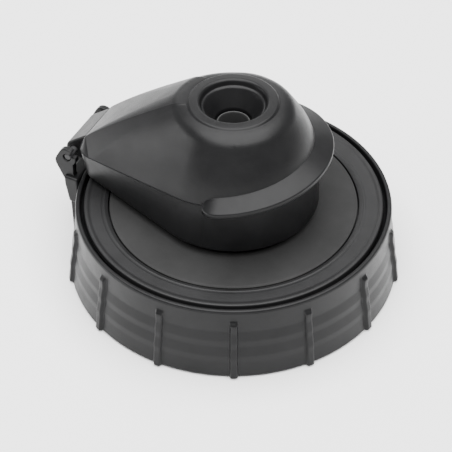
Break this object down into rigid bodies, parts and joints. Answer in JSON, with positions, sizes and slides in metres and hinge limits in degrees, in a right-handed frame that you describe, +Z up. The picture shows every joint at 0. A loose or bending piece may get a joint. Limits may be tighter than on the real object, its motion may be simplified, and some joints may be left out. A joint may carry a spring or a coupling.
{
  "type": "liquor pour spout",
  "caption": "Wide-mouth screw cap with a free-turning deck and a hinged conical pouring cover that swings back to uncover the filling spigot.",
  "frame": {"origin": "on the screw axis, in the plane of the collar's lower edge", "axes": "+Z up along the screw axis, -X towards the hinge, +X towards the cover's free end and thumb lip"},
  "size_m": [0.0728, 0.0714, 0.0418],
  "materials": {
    "black_plastic": "satin, finely textured moulded polypropylene",
    "deck_plastic": "satin moulded polypropylene",
    "pin_plastic": "smooth moulded acetal",
    "pad_rubber": "matt soft elastomer",
    "seal_silicone": "matt silicone",
    "sleeve_silicone": "satin silicone"
  },
  "bodies": {
    "collar": {"screw_collar": "black_plastic", "hinge_pin": "pin_plastic"},
    "deck": {"deck_plate": "deck_plastic", "deck_pad": "pad_rubber", "neck_gasket": "seal_silicone", "vent_valve": "seal_silicone"},
    "cover": {"pour_cover": "black_plastic", "cover_seal": "seal_silicone", "outlet_sleeve": "sleeve_silicone"}
  },
  "joints": [
    {"name": "cover_hinge", "type": "hinge", "parent": "collar", "child": "cover", "pos_m": [-0.03475, 0, 0.0208], "axis": [0, -1, 0], "range_deg": [0, 165]},
    {"name": "deck_swivel", "type": "hinge", "parent": "collar", "child": "deck", "pos_m": [0, 0, 0.0118], "axis": [0, 0, 1], "continuous": true}
  ]
}
